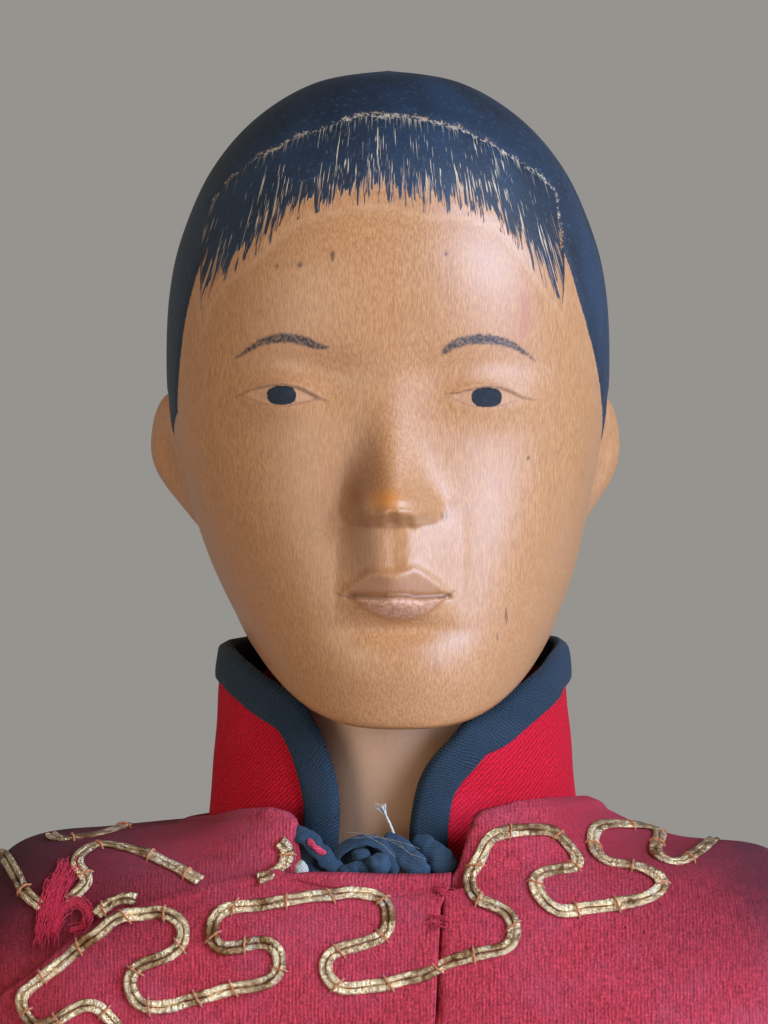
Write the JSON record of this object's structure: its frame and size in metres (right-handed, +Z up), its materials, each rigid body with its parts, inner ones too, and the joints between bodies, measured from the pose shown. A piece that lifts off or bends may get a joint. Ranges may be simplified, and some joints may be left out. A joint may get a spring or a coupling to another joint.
{
  "type": "carved wooden doll",
  "caption": "Standing doll with a carved wooden head and hands, a stuffed cloth body, a side-fastening jacket over a stand-collared under-jacket, trousers and cloth shoes.",
  "frame": {"origin": "on the floor under the middle of the doll's box", "axes": "+Z up along the doll's height, -Y the way the doll faces, +X the doll's own left"},
  "size_m": [0.1334, 0.0476, 0.2922],
  "materials": {
    "carved_wood": "smooth hand-rubbed pear wood with painted hair",
    "body_cotton": "plain cotton, stuffed",
    "binding_thread": "waxed thread",
    "under_jacket_twill": "red twill",
    "collar_twill": "red twill",
    "navy_binding": "navy bias-cut twill",
    "jacket_silk": "crimson silk twill",
    "trouser_cotton": "indigo cotton",
    "shoe_cloth": "black cotton",
    "sole_cloth": "stitched cloth layers"
  },
  "bodies": {
    "torso": {"torso": "body_cotton", "neck_tie": "binding_thread", "under_jacket": "under_jacket_twill", "collar_band": "collar_twill", "collar_binding": "navy_binding", "collar_knot": "navy_binding", "collar_loop": "navy_binding", "jacket_body": "jacket_silk", "jacket_overlap": "jacket_silk", "trouser_seat": "trouser_cotton"},
    "head": {"head": "carved_wood"},
    "left_arm": {"left_arm": "body_cotton", "left_hand": "carved_wood", "left_wrist_tie": "binding_thread", "left_under_sleeve": "under_jacket_twill", "left_cuff_binding": "navy_binding", "left_sleeve": "jacket_silk"},
    "right_arm": {"right_arm": "body_cotton", "right_hand": "carved_wood", "right_wrist_tie": "binding_thread", "right_under_sleeve": "under_jacket_twill", "right_cuff_binding": "navy_binding", "right_sleeve": "jacket_silk"},
    "left_leg": {"left_leg": "body_cotton", "left_trouser_leg": "trouser_cotton", "left_shoe_upper": "shoe_cloth", "left_shoe_sole": "sole_cloth"},
    "right_leg": {"right_leg": "body_cotton", "right_trouser_leg": "trouser_cotton", "right_shoe_upper": "shoe_cloth", "right_shoe_sole": "sole_cloth"}
  },
  "joints": [
    {"name": "neck_turn", "type": "hinge", "parent": "torso", "child": "head", "pos_m": [0, 0.0008, 0.2323], "axis": [0, 0, 1], "range_deg": [-5, 5]},
    {"name": "left_shoulder", "type": "hinge", "parent": "torso", "child": "left_arm", "pos_m": [0.034, 0.0008, 0.2208], "axis": [-1, 0, 0], "range_deg": [-40, 150]},
    {"name": "right_shoulder", "type": "hinge", "parent": "torso", "child": "right_arm", "pos_m": [-0.034, 0.0008, 0.2208], "axis": [-1, 0, 0], "range_deg": [-40, 150]},
    {"name": "left_hip", "type": "hinge", "parent": "torso", "child": "left_leg", "pos_m": [0.015, 0.0008, 0.122], "axis": [-1, 0, 0], "range_deg": [-20, 90]},
    {"name": "right_hip", "type": "hinge", "parent": "torso", "child": "right_leg", "pos_m": [-0.015, 0.0008, 0.122], "axis": [-1, 0, 0], "range_deg": [-20, 90]}
  ]
}
